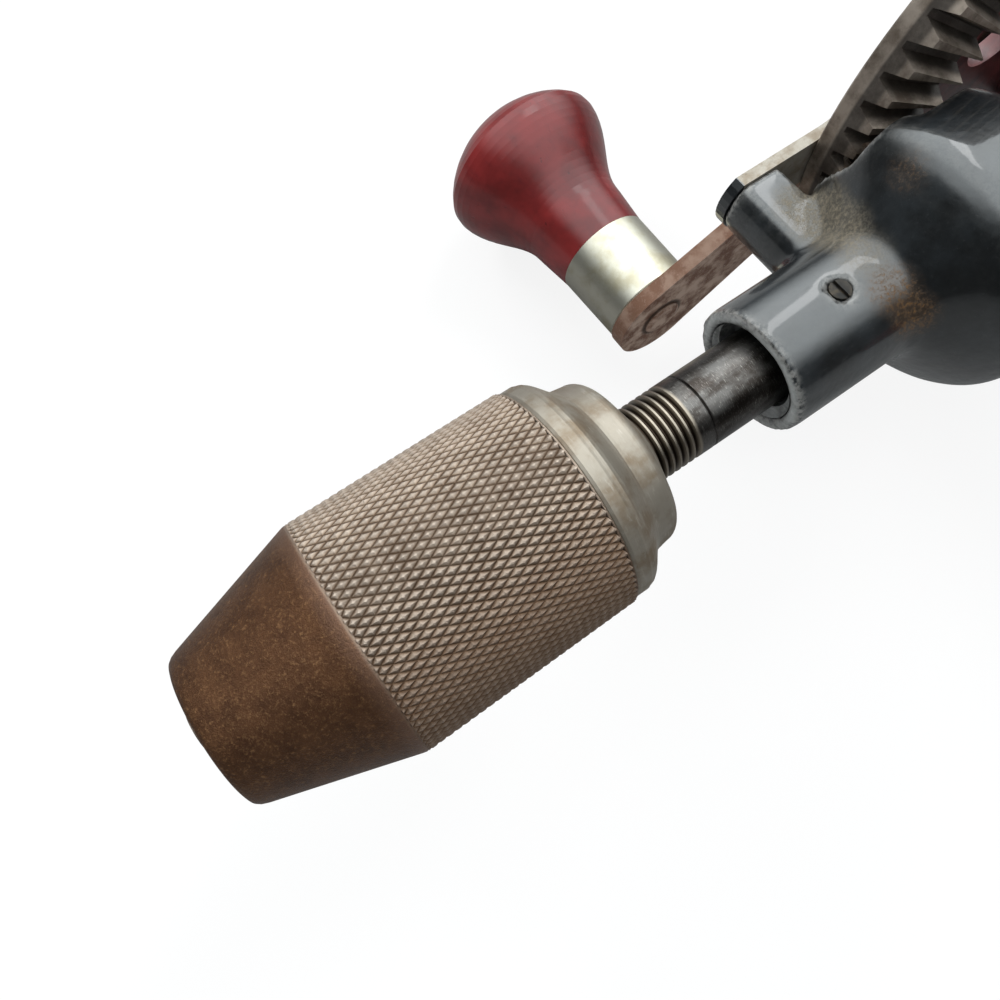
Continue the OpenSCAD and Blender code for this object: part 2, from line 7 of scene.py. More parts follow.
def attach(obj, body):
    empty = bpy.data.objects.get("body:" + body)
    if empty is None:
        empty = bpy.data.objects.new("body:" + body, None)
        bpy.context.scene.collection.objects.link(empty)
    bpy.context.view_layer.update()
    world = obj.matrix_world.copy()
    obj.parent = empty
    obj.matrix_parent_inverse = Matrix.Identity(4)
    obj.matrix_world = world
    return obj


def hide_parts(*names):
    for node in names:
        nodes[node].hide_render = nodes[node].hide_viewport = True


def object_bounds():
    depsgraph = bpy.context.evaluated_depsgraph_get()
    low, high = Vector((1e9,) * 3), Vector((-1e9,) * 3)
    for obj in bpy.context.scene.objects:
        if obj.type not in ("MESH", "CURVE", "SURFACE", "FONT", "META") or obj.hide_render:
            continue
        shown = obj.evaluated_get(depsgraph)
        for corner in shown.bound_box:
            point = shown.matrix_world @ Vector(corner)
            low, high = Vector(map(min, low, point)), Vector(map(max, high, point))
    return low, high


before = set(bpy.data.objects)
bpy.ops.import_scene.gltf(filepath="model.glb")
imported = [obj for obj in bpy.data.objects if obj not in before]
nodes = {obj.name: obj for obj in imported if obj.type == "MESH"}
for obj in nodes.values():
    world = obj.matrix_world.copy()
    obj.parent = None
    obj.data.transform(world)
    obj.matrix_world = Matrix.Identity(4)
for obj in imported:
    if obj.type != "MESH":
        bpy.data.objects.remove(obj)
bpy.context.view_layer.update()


# Camera and picture
# The photograph was taken from above the chuck, looking steeply down along the drill. The
# camera's place, turn and lens were solved from the outlines of the chuck, knob and wheel.

CAMERA_PLACE = (-0.0325, 0.0420, 0.1635)
CAMERA_RIGHT = (-0.82715, 0.55967, -0.05094)
CAMERA_UP = (-0.53368, -0.75387, 0.38323)
CAMERA_BACK = (0.17608, 0.34418, 0.92225)
SENSOR_WIDTH = 36
# The lens as a share of the picture's width, and where its axis meets the picture
FOCAL_SHARE = 0.92966
AXIS_ACROSS = 0.45924
AXIS_DOWN = 0.44962


def make_camera():
    data = bpy.data.cameras.new("camera")
    data.sensor_width = SENSOR_WIDTH
    data.lens = SENSOR_WIDTH * FOCAL_SHARE
    data.shift_x = 0.5 - AXIS_ACROSS
    data.shift_y = AXIS_DOWN - 0.5
    data.clip_start = 0.005
    data.clip_end = 20
    camera = bpy.data.objects.new("camera", data)
    place = Matrix((CAMERA_RIGHT, CAMERA_UP, CAMERA_BACK)).transposed().to_4x4()
    place.translation = CAMERA_PLACE
    camera.matrix_world = place
    bpy.context.scene.collection.objects.link(camera)
    bpy.context.scene.camera = camera


make_camera()
bpy.context.scene.view_settings.view_transform = "Standard"


# Chuck sleeve
# A steel sleeve with a smooth, brown nose cone and a barrel that is knurled all round. The
# knurl is cut as pyramids, so each diamond is real relief and the outline shows its teeth.

# Sizes of pieces are in millimetres, and MM turns them into the scene's metres. A distance
# behind the chuck's mouth is -x.
MM = 0.001
MOUTH_R = 11.2
NOSE_R = 14.6
SLEEVE_R = 23.39
SLEEVE_BACK_R = 22.9
NOSE_BORE_R = 10.6
CONE_BORE_R = 19.8
BORE_R = 21.02
BACK_BORE_R = 21.1
CONE_END = 28.6
SLEEVE_END = 73.6
ROUND_COUNT = 192
CONE_RINGS = 12
KNURL_COUNT = 83
KNURL_HALF = 1.72
KNURL_DEPTH = 0.42
# Width of a pyramid's flat top as a share of the diamond
KNURL_FLAT = 0.22
KNURL_GAP = 0.3
# The peak attribute is 0 in the knurl's grooves, 1 on its tops and this on the plain parts
PLAIN_PEAK = 0.5
NOSE_BAND = (-CONE_END - 0.7, -CONE_END + 0.5)
CONE_FADE = (-CONE_END + 4.0, -CONE_END - 0.5)
SHADED_SIDE = (4.0, 19.0)


def add_node(tree, kind, *inputs, named=(), out=0, **settings):
    """Adds a node: its settings first, then its sockets' values or links, by place or name."""
    node = tree.nodes.new(kind)
    for key, value in settings.items():
        setattr(node, key, value)
    for socket, value in [*enumerate(inputs), *dict(named).items()]:
        if isinstance(value, Socket):
            tree.links.new(value.out, node.inputs[socket])
        elif value is not None:
            node.inputs[socket].default_value = value
    return Socket(tree, node.outputs[out]) if len(node.outputs) else None


class Socket:
    """One output of a shader node. Sums and products of sockets add their Math nodes."""

    def __init__(self, tree, out):
        self.tree = tree
        self.out = out

    def math(self, operation, *values, clamp=False):
        return add_node(self.tree, "ShaderNodeMath", *values, operation=operation, use_clamp=clamp)

    def __add__(self, other):
        return self.math("ADD", self, other)

    def __radd__(self, other):
        return self.math("ADD", other, self)

    def __sub__(self, other):
        return self.math("SUBTRACT", self, other)

    def __rsub__(self, other):
        return self.math("SUBTRACT", other, self)

    def __mul__(self, other):
        return self.math("MULTIPLY", self, other)

    def __rmul__(self, other):
        return self.math("MULTIPLY", other, self)

    def __pow__(self, other):
        return self.math("POWER", self, other)

    def clamp(self):
        return self.math("ADD", self, 0.0, clamp=True)

    def step(self, start, end):
        """A smooth change from 0 at start to 1 at end, which may be the lower of the two."""
        low = 1.0 if start > end else 0.0
        return add_node(self.tree, "ShaderNodeMapRange", self, min(start, end), max(start, end),
                        low, 1.0 - low, interpolation_type="SMOOTHSTEP")


class Finish:
    """One material: a Principled shader, with places and noise in the part's millimetres."""

    def __init__(self, name, metallic=0.0, coat=0.0, coat_roughness=0.1, specular=0.5):
        self.material = bpy.data.materials.new(name)
        self.material.use_nodes = True
        self.tree = self.material.node_tree
        self.shader = self.tree.nodes["Principled BSDF"]
        self.shader.inputs["Metallic"].default_value = metallic
        self.shader.inputs["Coat Weight"].default_value = coat
        self.shader.inputs["Coat Roughness"].default_value = coat_roughness
        self.shader.inputs["Specular IOR Level"].default_value = specular
        place = self.node("ShaderNodeTexCoord", out="Object")
        self.mm = self.node("ShaderNodeVectorMath", place, None, None, 1 / MM, operation="SCALE")
        axes = self.node("ShaderNodeSeparateXYZ", self.mm).out.node.outputs
        self.x, self.y, self.z = (Socket(self.tree, axis) for axis in axes)

    def node(self, kind, *inputs, **settings):
        return add_node(self.tree, kind, *inputs, **settings)

    def noise(self, size, detail, rough, stretch=(1, 1, 1)):
        """Noise whose blotches are about size millimetres across."""
        scale = tuple(1 / (size * share) for share in stretch)
        place = self.node("ShaderNodeVectorMath", self.mm, scale, operation="MULTIPLY")
        return self.node("ShaderNodeTexNoise", place, None, 1.0, detail, rough)

    def mix(self, factor, low, high):
        """low where factor is 0 and high where it is 1; both are colours."""
        low, high = (tone if isinstance(tone, Socket) else (*tone, 1.0) for tone in (low, high))
        # The node's sockets 6 and 7 and its output 2 are the ones for colours
        return self.node("ShaderNodeMix", factor, named={6: low, 7: high}, out=2,
                         data_type="RGBA")

    def put(self, name, value):
        self.tree.links.new(value.out, self.shader.inputs[name])

    def bump(self, height, distance):
        """Relief of height times distance, in millimetres."""
        relief = {"Strength": 1.0, "Distance": distance * MM, "Height": height}
        self.put("Normal", self.node("ShaderNodeBump", named=relief))


def sleeve_finish():
    m = Finish("sleeve_steel", metallic=0.6, specular=0.2)
    peak = m.node("ShaderNodeAttribute", out="Fac", attribute_name="peak")
    nose = m.x.step(*NOSE_BAND)
    blotch = m.noise(4.0, 6.0, 0.7)
    fleck = m.noise(0.7, 5.0, 0.85)
    # The nose is brown, and paler towards the knurl
    brown = m.mix(blotch.step(0.2, 0.8), (0.036, 0.014, 0.006), (0.08, 0.035, 0.015))
    brown = m.mix(fleck.step(0.5, 0.68) * 0.7, brown, (0.2, 0.105, 0.048))
    brown = m.mix(m.x.step(*CONE_FADE) * 0.45, brown, (0.17, 0.1, 0.07))
    # The knurl has bright tops and darker grooves, and the side away from the crank is
    # painted darker, as shade
    steel = m.mix(blotch.step(0.35, 0.65), (0.125, 0.083, 0.055), (0.225, 0.165, 0.12))
    steel = m.mix(peak.step(0.1, 0.95) * 0.6, steel, (0.4, 0.34, 0.29))
    steel = m.mix(peak.step(0.45, 0.0) * 0.8, steel, (0.045, 0.025, 0.014))
    # Painted shade: the side away from the crank is darker
    steel = m.mix(m.y.step(*SHADED_SIDE) * 0.65, steel, (0.085, 0.043, 0.022))
    m.put("Base Color", m.mix(nose, steel, brown))
    m.put("Roughness", 0.38 + 0.12 * fleck + nose * 0.02)
    m.bump(fleck + m.noise(0.35, 2.0, 0.6) * 0.5, 0.13)
    return m.material


def sleeve_radius(u):
    return SLEEVE_R + (SLEEVE_BACK_R - SLEEVE_R) * (u - CONE_END) / (SLEEVE_END - CONE_END)


def ring_points(profile):
    """Points of a profile of (distance behind the mouth, radius), turned about the axis."""
    angle = np.arange(ROUND_COUNT) * 2 * np.pi / ROUND_COUNT
    return np.concatenate([
        np.stack([np.full(ROUND_COUNT, -u), r * np.cos(angle), r * np.sin(angle)], 1)
        for u, r in profile])


def ring_faces(rows, start):
    """Quads between neighbouring rings, facing outwards."""
    faces = []
    for i in range(rows - 1):
        for j in range(ROUND_COUNT):
            a = start + i * ROUND_COUNT + j
            b = start + i * ROUND_COUNT + (j + 1) % ROUND_COUNT
            faces.append((a + ROUND_COUNT, b + ROUND_COUNT, b, a))
    return faces


def knurl(front, back):
    """Truncated pyramids on diamonds, trimmed at the two ends of the barrel."""
    points, faces, height = [], [], []
    step = 2 * math.pi / KNURL_COUNT
    rows = int((back - front) / KNURL_HALF) + 2
    start = front - KNURL_HALF * 0.4

    def put(u, angle, lift):
        u = min(max(u, front), back)
        r = sleeve_radius(u) - KNURL_DEPTH * (1 - lift)
        points.append((-u, r * math.cos(angle), r * math.sin(angle)))
        height.append(lift)
        return len(points) - 1

    def diamond(u, angle, share, lift):
        along, around = KNURL_HALF * share, step / 2 * share
        return [put(u - along, angle, lift), put(u, angle + around, lift),
                put(u + along, angle, lift), put(u, angle - around, lift)]

    for i in range(rows):
        for j in range(KNURL_COUNT):
            u = start + i * KNURL_HALF
            angle = (j + 0.5 * (i % 2)) * step
            base = diamond(u, angle, 1, 0)
            top = diamond(u, angle, KNURL_FLAT, 1)
            for k in range(4):
                n = (k + 1) % 4
                faces.append((base[k], top[k], top[n], base[n]))
            faces.append(tuple(reversed(top)))
    return points, faces, height


def make_sleeve():
    cone = [(0.0, MOUTH_R), (0.0, NOSE_R - 1.0), (0.25, NOSE_R - 0.35), (0.9, NOSE_R + 0.15)]
    cone += [(u, NOSE_R + (SLEEVE_R - NOSE_R) * u / CONE_END)
             for u in np.linspace(2, CONE_END - 1.0, CONE_RINGS)]
    cone += [(CONE_END - 0.2, SLEEVE_R - 0.1), (CONE_END + 0.25, SLEEVE_R - 0.14),
             (CONE_END + 0.45, SLEEVE_R - 0.5)]
    bore = [(SLEEVE_END - 0.4, SLEEVE_BACK_R - 0.5), (SLEEVE_END - 0.1, SLEEVE_BACK_R - 0.2),
            (SLEEVE_END, SLEEVE_BACK_R - 0.4), (SLEEVE_END, BACK_BORE_R), (42.0, BACK_BORE_R),
            (30.0, BORE_R), (CONE_END, CONE_BORE_R), (2.5, NOSE_BORE_R), (0.6, NOSE_BORE_R),
            (0.0, MOUTH_R)]
    points = np.concatenate([ring_points(cone), ring_points(bore)])
    faces = ring_faces(len(cone), 0) + ring_faces(len(bore), len(cone) * ROUND_COUNT)
    plain = len(faces)
    teeth, teeth_faces, lift = knurl(CONE_END + KNURL_GAP, SLEEVE_END - KNURL_GAP)
    faces += [tuple(i + len(points) for i in face) for face in teeth_faces]
    height = np.concatenate([np.full(len(points), PLAIN_PEAK), lift])
    points = np.concatenate([points, np.array(teeth)])
    mesh = bpy.data.meshes.new("sleeve_knurled")
    mesh.from_pydata([tuple(p) for p in points * MM], [], faces)
    mesh.validate()
    mesh.update()
    mesh.materials.append(sleeve_finish())
    peak = mesh.attributes.new("peak", "FLOAT", "POINT")
    peak.data.foreach_set("value", height.astype(np.float32))
    for face in mesh.polygons[:plain]:
        face.use_smooth = True
    obj = bpy.data.objects.new("sleeve_knurled", mesh)
    bpy.context.scene.collection.objects.link(obj)
    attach(obj, "sleeve_body")
    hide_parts("chuck_sleeve")


make_sleeve()


# Chuck body, jaws and drive ring
# The body carries the jaws in slanted bores, and its collar shows behind the sleeve. It is
# turned steel that was plated: grey, with brown stains. Jaws and ring are dark steel.

GLINT_BAND = (-76.0, -74.5)
BEVEL_WIDTH = 0.25
BEVEL_ANGLE = 50


def wear(name, colour, dark, light, roughness, metallic=1.0):
    """Worn metal: blotches of a darker and a lighter tone, and fine grain."""
    m = Finish(name, metallic=metallic)
    large = m.noise(6.0, 5.0, 0.6).step(0.38, 0.66)
    small = m.noise(1.5, 3.0, 0.7).step(0.45, 0.75)
    fine = m.noise(0.5, 3.0, 0.6)
    tone = m.mix(large, dark, colour)
    m.put("Base Color", m.mix(small * 0.55, tone, light))
    m.put("Roughness", roughness - 0.16 * (large - 0.5) + 0.1 * (fine - 0.5))
    m.bump(fine * 0.7 + large * 0.5, 0.02)
    return m.material


def dress(material, *names):
    """Gives CAD nodes a material and a bevel, which changes the shape of only three of them:
    pinion, side_handle and thrust_ball."""
    for name in names:
        obj = nodes[name]
        obj.data.materials.clear()
        obj.data.materials.append(material)
        soften = obj.modifiers.new("soften", "BEVEL")
        soften.width = BEVEL_WIDTH * MM
        soften.segments = 2
        soften.limit_method = "ANGLE"
        soften.angle_limit = math.radians(BEVEL_ANGLE)


def collar_finish():
    m = Finish("plated_collar", metallic=0.75)
    blotch = m.noise(7.0, 5.0, 0.62)
    streak = m.noise(2.0, 4.0, 0.6, stretch=(0.35, 1.6, 1.6))
    tone = m.mix(blotch.step(0.42, 0.66), (0.235, 0.208, 0.172), (0.165, 0.126, 0.088))
    tone = m.mix(streak.step(0.55, 0.78) * 0.6, tone, (0.34, 0.315, 0.275))
    glint = m.noise(3.4, 3.0, 0.5).step(0.66, 0.74) * m.x.step(*GLINT_BAND)
    tone = m.mix(glint, tone, (0.45, 0.25, 0.07))
    m.put("Base Color", tone)
    m.put("Roughness", 0.38 + 0.22 * blotch + 0.08 * streak)
    m.bump(m.noise(0.8, 4.0, 0.6), 0.04)
    return m.material


dark_steel = wear("dark_steel", (0.17, 0.14, 0.115), (0.07, 0.05, 0.038), (0.36, 0.33, 0.3), 0.36)
dress(collar_finish(), "chuck_body")
dress(dark_steel, "jaw_1", "jaw_2", "jaw_3", "chuck_ring")


# Spindle and bearings
# A turned steel rod. The chuck thread has bright crests and greasy roots, and the shank is
# polished, with brown smears. Its bushes are brass, and the front one is dull where it shows.

THREAD_STOP = (-100.9, -100.3)
THREAD_R = (7.25, 7.9)


def spindle_finish():
    m = Finish("spindle_steel", metallic=0.95)
    radius = (m.y * m.y + m.z * m.z) ** 0.5
    thread = m.x.step(*THREAD_STOP)
    blotch = m.noise(5.0, 5.0, 0.6, stretch=(1.6, 0.8, 0.8))
    scratch = m.noise(0.9, 3.0, 0.7, stretch=(0.12, 1.4, 1.4))
    shank = m.mix(blotch.step(0.36, 0.66), (0.026, 0.021, 0.018), (0.085, 0.08, 0.076))
    shank = m.mix(scratch.step(0.55, 0.8) * 0.5, shank, (0.5, 0.47, 0.43))
    cut = m.mix(radius.step(*THREAD_R), (0.028, 0.019, 0.013), (0.22, 0.19, 0.155))
    m.put("Base Color", m.mix(thread, shank, cut))
    m.put("Roughness", 0.24 + 0.2 * blotch + thread * 0.08)
    m.bump(scratch, 0.015)
    return m.material


bright_steel = wear("bright_steel", (0.42, 0.39, 0.35), (0.24, 0.21, 0.18), (0.6, 0.58, 0.54),
                    0.33)
brass = wear("bush_brass", (0.5, 0.32, 0.12), (0.2, 0.12, 0.05), (0.75, 0.55, 0.28), 0.35)
bush_face = wear("bush_face", (0.13, 0.135, 0.135), (0.05, 0.05, 0.048), (0.2, 0.2, 0.19), 0.55,
                 metallic=0.2)
dress(spindle_finish(), "spindle")
dress(dark_steel, "pinion", "thrust_plug")
dress(bright_steel, "pinion_pin", "thrust_ball", "gear_pin")
dress(brass, "pinion_washer", "rear_bush", "hub_bush", "plate_bush")
dress(bush_face, "front_bush")


# Frame
# One iron casting in black enamel, like the breast plate, with steel screws. The casting is
# remeshed from its CAD solid, and its inside corners are filled to the soft fillets of a
# sand casting.

# How far the boss's front face, painted pale as a painted reflection, and the dark ring of
# painted shade round the spindle reach, along x and outwards
LIT_FACE_BAND, LIT_FACE_R = (-118.9, -118.3), (10.4, 10.9)
SHADE_RING_BAND, SHADE_RING_R = (-122.0, -118.6), (11.2, 10.3)
# Pale dust lies on the lug and the root of the boss, and rust where casing and boss meet
LUG_END = (-149.5, -22.0, 4.0)
LUG_MIDDLE = (-150.0, -16.0, 7.0)
LUG_ROOT = (-148.0, -10.0, 10.0)
BOSS_ROOT = (-145.0, -3.0, 13.0)
SEAM_TOP = (-144.5, 5.5, 12.5)
SEAM_FAR = (-146.5, 10.5, 8.5)
SHOULDER = (-158.0, -8.0, 22.0)
VOXEL = 0.9
RELAX_ROUNDS = 14
# How far a point moves to its neighbours' middle in a round, outwards and inwards
FILL, ERODE = 0.9, 0.12


def near(m, point, inner, outer):
    """1 within inner millimetres of a point, and 0 from outer on."""
    gap = m.node("ShaderNodeVectorMath", m.mm, point, out=1, operation="DISTANCE")
    return gap.step(outer, inner)


def enamel_finish(name, edge_wear):
    m = Finish(name, coat_roughness=0.08, specular=0.3)
    radius = (m.y * m.y + m.z * m.z) ** 0.5
    blotch = m.noise(11.0, 5.0, 0.6)
    fine = m.noise(1.2, 4.0, 0.7)
    grit = m.noise(0.9, 5.0, 0.8)
    tone = m.mix(blotch.step(0.35, 0.7), (0.003, 0.0035, 0.004), (0.009, 0.011, 0.013))
    tone = m.mix(fine.step(0.62, 0.85) * 0.3, tone, (0.045, 0.05, 0.054))
    # Pointiness passes 0.5 at outward edges. Only the finely remeshed casting can use it
    edges = m.node("ShaderNodeNewGeometry", out="Pointiness").step(0.5, 0.55)
    worn = edges * fine.step(0.35, 0.6) * edge_wear
    tone = m.mix(worn * 0.8, tone, (0.2, 0.195, 0.185))
    # The boss's front face is painted pale grey without coat: a painted reflection of the floor
    face = m.x.step(*LIT_FACE_BAND) * radius.step(*LIT_FACE_R)
    tone = m.mix(face * (0.35 + 0.65 * blotch.step(0.4, 0.6)), tone, (0.3, 0.31, 0.305))
    # Painted shade: a dark ring in the bore's mouth round the spindle
    shade_ring = m.x.step(*SHADE_RING_BAND) * radius.step(*SHADE_RING_R)
    tone = m.mix(shade_ring, tone, (0.006, 0.005, 0.004))
    dust = near(m, LUG_END, 2.0, 7.0) + near(m, LUG_MIDDLE, 3.0, 8.5)
    dust = dust + near(m, LUG_ROOT, 2.0, 8.0) + near(m, BOSS_ROOT, 0.5, 7.0) * 0.6
    dust = dust.clamp() * (0.35 + 0.65 * grit.step(0.4, 0.62))
    tone = m.mix(dust * 0.7, tone, (0.2, 0.17, 0.125))
    rust = near(m, SEAM_TOP, 1.5, 6.5) + near(m, SEAM_FAR, 1.5, 6.5)
    rust = rust + near(m, SHOULDER, 0.5, 6.0) * 0.5
    rust = rust.clamp() * (0.2 + 0.8 * grit.step(0.46, 0.66))
    tone = m.mix(rust * 0.8, tone, (0.15, 0.075, 0.025))
    dirt = (dust + rust).clamp()
    m.put("Base Color", tone)
    m.put("Roughness", 0.28 + 0.35 * dirt + 0.2 * blotch + face * 0.2)
    m.put("Coat Weight", (0.9 - dirt * 0.8 - worn * 0.5 - face * 0.8).clamp())
    wave = m.noise(5.0, 2.0, 0.5)
    scratch = m.noise(0.8, 4.0, 0.8, stretch=(3.0, 0.6, 0.6)).step(0.6, 0.75)
    m.bump(wave + fine * 0.12 + dirt * grit * 0.5 - scratch * 0.08, 0.3)
    return m.material


def relax(points, edge, tris):
    """Moves points to their neighbours' middle: hollow corners fill and outer edges stay."""
    count = len(points)
    degree = np.bincount(edge.ravel(), minlength=count)[:, None]
    for _ in range(RELAX_ROUNDS):
        total = np.zeros_like(points)
        normal = np.zeros_like(points)
        corner = points[tris]
        area = np.cross(corner[:, 1] - corner[:, 0], corner[:, 2] - corner[:, 0])
        for axis in range(3):
            total[:, axis] = (np.bincount(edge[:, 0], points[edge[:, 1], axis], count)
                              + np.bincount(edge[:, 1], points[edge[:, 0], axis], count))
            for k in range(3):
                normal[:, axis] += np.bincount(tris[:, k], area[:, axis], count)
        normal /= np.maximum(np.linalg.norm(normal, axis=1, keepdims=True), 1e-12)
        move = total / degree - points
        outward = (move * normal).sum(1, keepdims=True)
        points = points + move * np.where(outward > 0, FILL, ERODE)
    return points


def make_casting(material):
    raw = nodes["frame"].data.copy()
    obj = bpy.data.objects.new("frame_casting", raw)
    bpy.context.scene.collection.objects.link(obj)
    remesh = obj.modifiers.new("remesh", "REMESH")
    remesh.mode = "VOXEL"
    remesh.voxel_size = VOXEL * MM
    graph = bpy.context.evaluated_depsgraph_get()
    mesh = bpy.data.meshes.new_from_object(obj.evaluated_get(graph))
    obj.modifiers.clear()
    obj.data = mesh
    bpy.data.meshes.remove(raw)
    points = np.empty(len(mesh.vertices) * 3)
    mesh.vertices.foreach_get("co", points)
    edge = np.empty(len(mesh.edges) * 2, dtype=np.int64)
    mesh.edges.foreach_get("vertices", edge)
    mesh.calc_loop_triangles()
    tris = np.array([t.vertices[:] for t in mesh.loop_triangles])
    points = relax(points.reshape(-1, 3), edge.reshape(-1, 2), tris)
    mesh.vertices.foreach_set("co", points.ravel())
    mesh.update()
    mesh.shade_smooth()
    mesh.materials.clear()
    mesh.materials.append(material)
    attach(obj, "frame_body")
    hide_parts("frame")


dirty_screw = wear("dirty_screw", (0.014, 0.01, 0.006), (0.005, 0.004, 0.003),
                   (0.07, 0.052, 0.03), 0.7, metallic=0.2)
make_casting(enamel_finish("black_enamel", edge_wear=1.0))
dress(enamel_finish("plate_enamel", edge_wear=0.0), "breast_plate")
dress(dirty_screw, "bush_screw")
dress(dark_steel, "plate_screw", "breast_screw", "crank_nut", "crank_washer")


# Gear wheel and its shaft
# An iron casting with cut teeth, pinned to a steel shaft: a bare, brown rim, old grease
# between the teeth, and a web that is painted maroon on both sides.

# The wheel turns about an axis this far behind the chuck's mouth
CRANK_U = 227.0
# The tips of the teeth lie on a cone: distance to the crank side = radius * slope - start
TIP_SLOPE, TIP_START = 0.3752, 2.14
GREASE_TOP, GREASE_FLOOR = (1.1, 2.9), (6.4, 5.4)
TEETH_R, TEETH_SIDE = (50.0, 50.8), (30.0, 28.0)
WEB_R = (50.4, 49.9)
OUTER_WEB_R, OUTER_WEB_SIDE = (56.0, 55.5), (27.5, 28.5)


def wheel_finish():
    m = Finish("wheel_iron")
    dx = m.x + CRANK_U
    radius = (dx * dx + m.z * m.z) ** 0.5
    side = 0.0 - m.y
    blotch = m.noise(6.0, 5.0, 0.62)
    fleck = m.noise(0.9, 4.0, 0.75)
    rim = m.mix(blotch.step(0.35, 0.65), (0.14, 0.108, 0.085), (0.34, 0.285, 0.24))
    rim = m.mix(fleck.step(0.55, 0.75) * 0.5, rim, (0.36, 0.31, 0.27))
    paint = m.mix(blotch.step(0.35, 0.65), (0.035, 0.008, 0.009), (0.095, 0.022, 0.022))
    outer_web = radius.step(*OUTER_WEB_R) * side.step(*OUTER_WEB_SIDE)
    painted = (radius.step(*WEB_R) + outer_web).clamp()
    depth = side - (radius * TIP_SLOPE - TIP_START)
    grease = depth.step(*GREASE_TOP) * depth.step(*GREASE_FLOOR)
    grease = grease * radius.step(*TEETH_R) * side.step(*TEETH_SIDE)
    tone = m.mix(painted, rim, paint)
    tone = m.mix(grease * (0.75 + 0.25 * fleck), tone, (0.010, 0.007, 0.005))
    m.put("Base Color", tone)
    m.put("Metallic", (0.85 - painted * 0.85 - grease * 0.6).clamp())
    m.put("Roughness", 0.42 + 0.16 * fleck - painted * 0.12)
    m.bump(fleck * 0.6 + blotch, 0.06)
    return m.material


dress(wheel_finish(), "gear_wheel")
dress(dark_steel, "crank_shaft")


# Side plate
# A flat strip of steel, dull and beige with age, that runs from the lug to the crank shaft.
# A screw holds its front end, which was enamelled over together with the lug.

PAINT_STOP = (-144.0, -143.6)


def plate_finish():
    m = Finish("plate_steel", specular=0.25)
    blotch = m.noise(5.0, 5.0, 0.65)
    fleck = m.noise(0.8, 4.0, 0.8)
    painted = m.x.step(*PAINT_STOP)
    tone = m.mix(blotch.step(0.4, 0.65), (0.3, 0.275, 0.235), (0.2, 0.165, 0.125))
    tone = m.mix(fleck.step(0.55, 0.75) * 0.6, tone, (0.11, 0.085, 0.06))
    tone = m.mix(painted, tone, (0.006, 0.007, 0.008))
    m.put("Base Color", tone)
    m.put("Metallic", 0.35 - painted * 0.35)
    m.put("Coat Weight", painted * 0.9)
    m.put("Roughness", 0.5 + 0.15 * fleck - painted * 0.2)
    m.bump(fleck + blotch, 0.06)
    return m.material


dress(plate_finish(), "side_plate")


# Crank arm and pin
# Flat steel bar with its end rounded, brown all over. The pin is riveted over and lies
# almost flush, in a dark ring of painted shade.

# The pin's axis, behind the chuck's mouth and below the spindle
PIN_U, PIN_DROP = 134.9, 44.75
PIN_INNER_R, PIN_OUTER_R = (4.9, 5.4), (6.7, 5.6)


def arm_finish():
    m = Finish("arm_steel", metallic=0.12, specular=0.2)
    blotch = m.noise(6.0, 6.0, 0.65)
    fleck = m.noise(0.9, 4.0, 0.8)
    scratch = m.noise(1.5, 3.0, 0.7, stretch=(1.5, 1.0, 0.15))
    tone = m.mix(blotch.step(0.4, 0.62), (0.15, 0.072, 0.045), (0.42, 0.3, 0.235))
    tone = m.mix(fleck.step(0.52, 0.74) * 0.7, tone, (0.42, 0.34, 0.285))
    tone = m.mix(scratch.step(0.6, 0.8) * 0.4, tone, (0.4, 0.35, 0.31))
    # The bar's broad sides face along y. Its narrow sides are painted darker, as shade
    normal = m.node("ShaderNodeNewGeometry", out="Normal")
    broad = m.node("ShaderNodeSeparateXYZ", normal, out=1)
    narrow_shade = 1.0 - (broad * broad).step(0.2, 0.7)
    tone = m.mix(narrow_shade * 0.7, tone, (0.1, 0.052, 0.033))
    dx = m.x + PIN_U
    dz = m.z + PIN_DROP
    radius = (dx * dx + dz * dz) ** 0.5
    # Painted shade: a dark ring round the riveted pin
    shade_ring = radius.step(*PIN_INNER_R) * radius.step(*PIN_OUTER_R)
    tone = m.mix(shade_ring * 0.8, tone, (0.02, 0.012, 0.008))
    m.put("Base Color", tone)
    m.put("Roughness", 0.48 + 0.18 * fleck)
    m.bump(fleck + blotch * 0.8, 0.08)
    return m.material


dress(arm_finish(), "crank_arm", "crank_pin")
dress(bright_steel, "pin_washer")


# Ferrules
# Drawn brass cups that keep the wood at the knob's and handle's ends from splitting. Their
# nickel plate is worn: pale, with yellow-brown stains and fine scratches.

def nickel_finish():
    m = Finish("nickel_plate", metallic=1.0)
    blotch = m.noise(8.0, 5.0, 0.6)
    scratch = m.noise(1.0, 3.0, 0.7, stretch=(1.6, 0.15, 1.6))
    fleck = m.noise(0.7, 3.0, 0.8)
    tone = m.mix(blotch.step(0.4, 0.7), (0.41, 0.39, 0.33), (0.31, 0.28, 0.205))
    tone = m.mix(fleck.step(0.66, 0.78) * 0.6, tone, (0.2, 0.15, 0.09))
    m.put("Base Color", tone)
    m.put("Roughness", 0.3 + 0.16 * blotch + 0.14 * scratch)
    m.bump(scratch * 0.5 + blotch * 1.2, 0.05)
    return m.material


dress(nickel_finish(), "crank_ferrule", "side_ferrule")


# Knob and side handle
# Turned wood in deep red lacquer. The lacquer is glossy, with darker streaks along the
# grain, and has small dents and worn spots.

